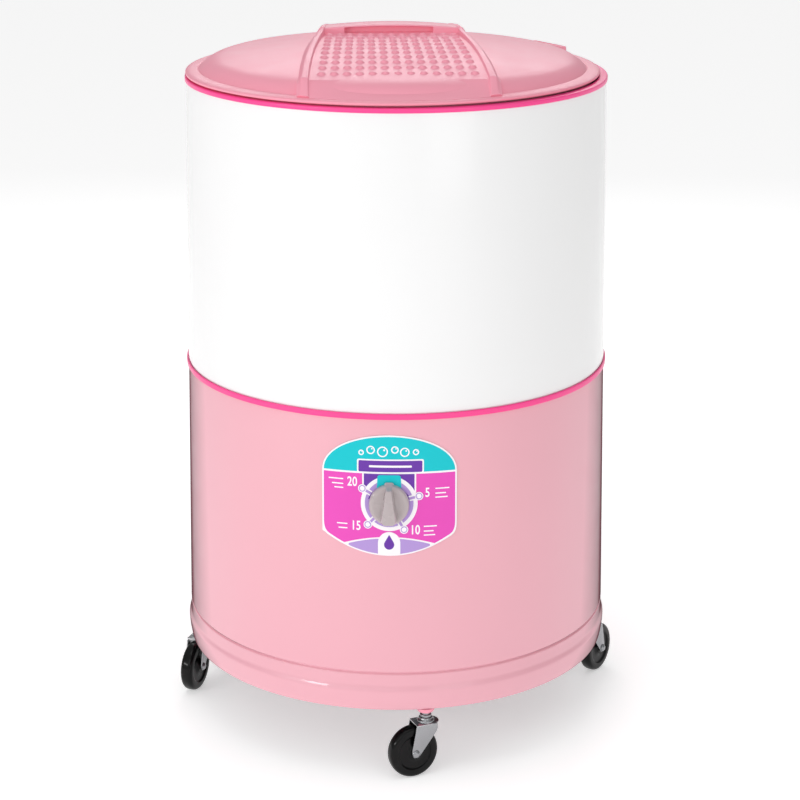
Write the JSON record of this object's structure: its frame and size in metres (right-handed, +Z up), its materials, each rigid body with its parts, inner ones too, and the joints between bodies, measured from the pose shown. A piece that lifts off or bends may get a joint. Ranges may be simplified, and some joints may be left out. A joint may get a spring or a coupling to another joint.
{
  "type": "round single-tub washing machine",
  "caption": "Round upright washer with an enamelled tub on a painted skirt, lift-off lid with washboard, dial timer, bottom impeller, drain hose and swivel casters.",
  "frame": {"origin": "on the floor, on the tub's vertical axis", "axes": "+Z up, -Y towards the front with the timer knob, +X to the right seen from the front"},
  "size_m": [0.5832, 0.595, 0.8898],
  "materials": {
    "pink_paint": "gloss enamel paint",
    "white_enamel": "high gloss vitreous enamel",
    "hot_pink_trim": "satin",
    "pink_plastic": "satin moulded",
    "label_print": "printed film",
    "grey_knob": "satin moulded",
    "white_plastic": "moulded",
    "black_plastic": "moulded",
    "black_rubber": "matt",
    "zinc_steel": "bright zinc plate",
    "dark_steel": "primer coat",
    "cast_aluminium": "as cast",
    "bronze_bush": "sintered",
    "motor_paint": "satin",
    "grey_hose": "ribbed"
  },
  "bodies": {
    "cabinet": {"skirt": "pink_paint", "tub": "white_enamel", "waist_trim": "hot_pink_trim", "rim_trim": "hot_pink_trim", "label_plate": "label_print", "timer_body": "white_plastic", "bearing_housing": "cast_aluminium", "upper_bush": "bronze_bush", "lower_bush": "bronze_bush", "tub_seal": "black_rubber", "base_frame": "dark_steel", "motor_bracket": "dark_steel", "motor_body": "motor_paint", "drive_belt": "black_rubber", "capacitor": "cast_aluminium", "caster_socket_front": "pink_plastic", "caster_socket_right": "pink_plastic", "caster_socket_back": "pink_plastic", "caster_socket_left": "pink_plastic", "drain_grate": "white_plastic", "drain_spout": "black_plastic", "hose_clamp": "zinc_steel", "hose_grommet": "black_rubber", "inner_hose": "grey_hose", "hose_clip": "white_plastic", "power_cord": "black_rubber", "cord_grommet": "black_plastic", "cord_hook": "white_plastic", "plug": "black_plastic"},
    "lid": {"lid": "pink_plastic"},
    "timer_dial": {"timer_shaft": "zinc_steel", "timer_knob": "grey_knob"},
    "impeller_set": {"drive_shaft": "zinc_steel", "impeller": "white_plastic", "impeller_cap": "hot_pink_trim", "driven_pulley": "cast_aluminium"},
    "motor_rotor": {"motor_shaft": "zinc_steel", "motor_pulley": "cast_aluminium"},
    "outer_hose": {"drain_hose": "grey_hose"},
    "front_fork": {"caster_fork_front": "zinc_steel", "caster_stem_front": "zinc_steel", "caster_axle_front": "zinc_steel"},
    "right_fork": {"caster_fork_right": "zinc_steel", "caster_stem_right": "zinc_steel", "caster_axle_right": "zinc_steel"},
    "back_fork": {"caster_fork_back": "zinc_steel", "caster_stem_back": "zinc_steel", "caster_axle_back": "zinc_steel"},
    "left_fork": {"caster_fork_left": "zinc_steel", "caster_stem_left": "zinc_steel", "caster_axle_left": "zinc_steel"},
    "front_wheel": {"caster_wheel_front": "black_rubber"},
    "right_wheel": {"caster_wheel_right": "black_rubber"},
    "back_wheel": {"caster_wheel_back": "black_rubber"},
    "left_wheel": {"caster_wheel_left": "black_rubber"}
  },
  "joints": [
    {"name": "lid_lift", "type": "slide", "parent": "cabinet", "child": "lid", "axis": [0, 0, 1], "range_m": [0, 0.35]},
    {"name": "timer_turn", "type": "hinge", "parent": "cabinet", "child": "timer_dial", "pos_m": [-0.0085, -0.27447, 0.349], "axis": [-0.031, -0.9995, 0], "range_deg": [-300, 0]},
    {"name": "impeller_spin", "type": "hinge", "parent": "cabinet", "child": "impeller_set", "pos_m": [0, 0, 0.31], "axis": [0, 0, 1], "continuous": true},
    {"name": "motor_spin", "type": "hinge", "parent": "cabinet", "child": "motor_rotor", "pos_m": [-0.02268, 0.16343, 0.31], "axis": [0, 0, 1], "continuous": true},
    {"name": "hose_swing", "type": "hinge", "parent": "cabinet", "child": "outer_hose", "pos_m": [0.11795, 0.26493, 0.158], "axis": [0.4067, 0.9135, 0], "range_deg": [0, 98]},
    {"name": "front_swivel", "type": "hinge", "parent": "cabinet", "child": "front_fork", "pos_m": [0.03628, -0.26149, 0.09], "axis": [0, 0, 1], "continuous": true},
    {"name": "front_roll", "type": "hinge", "parent": "front_fork", "child": "front_wheel", "pos_m": [0.02018, -0.26833, 0.03175], "axis": [0.3907, -0.9205, 0], "continuous": true},
    {"name": "right_swivel", "type": "hinge", "parent": "cabinet", "child": "right_fork", "pos_m": [0.2627, 0.02622, 0.09], "axis": [0, 0, 1], "continuous": true},
    {"name": "right_roll", "type": "hinge", "parent": "right_fork", "child": "right_wheel", "pos_m": [0.27248, 0.04073, 0.03175], "axis": [-0.829, 0.5592, 0], "continuous": true},
    {"name": "back_swivel", "type": "hinge", "parent": "cabinet", "child": "back_fork", "pos_m": [-0.03628, 0.26149, 0.09], "axis": [0, 0, 1], "continuous": true},
    {"name": "back_roll", "type": "hinge", "parent": "back_fork", "child": "back_wheel", "pos_m": [-0.0303, 0.24505, 0.03175], "axis": [0.9397, 0.342, 0], "continuous": true},
    {"name": "left_swivel", "type": "hinge", "parent": "cabinet", "child": "left_fork", "pos_m": [-0.26395, -0.00507, 0.09], "axis": [0, 0, 1], "continuous": true},
    {"name": "left_roll", "type": "hinge", "parent": "left_fork", "child": "left_wheel", "pos_m": [-0.26994, -0.02151, 0.03175], "axis": [0.9397, -0.342, 0], "continuous": true}
  ],
  "couplings": [
    {"joint": "motor_spin", "follows": "impeller_spin", "ratio": 3.5}
  ]
}
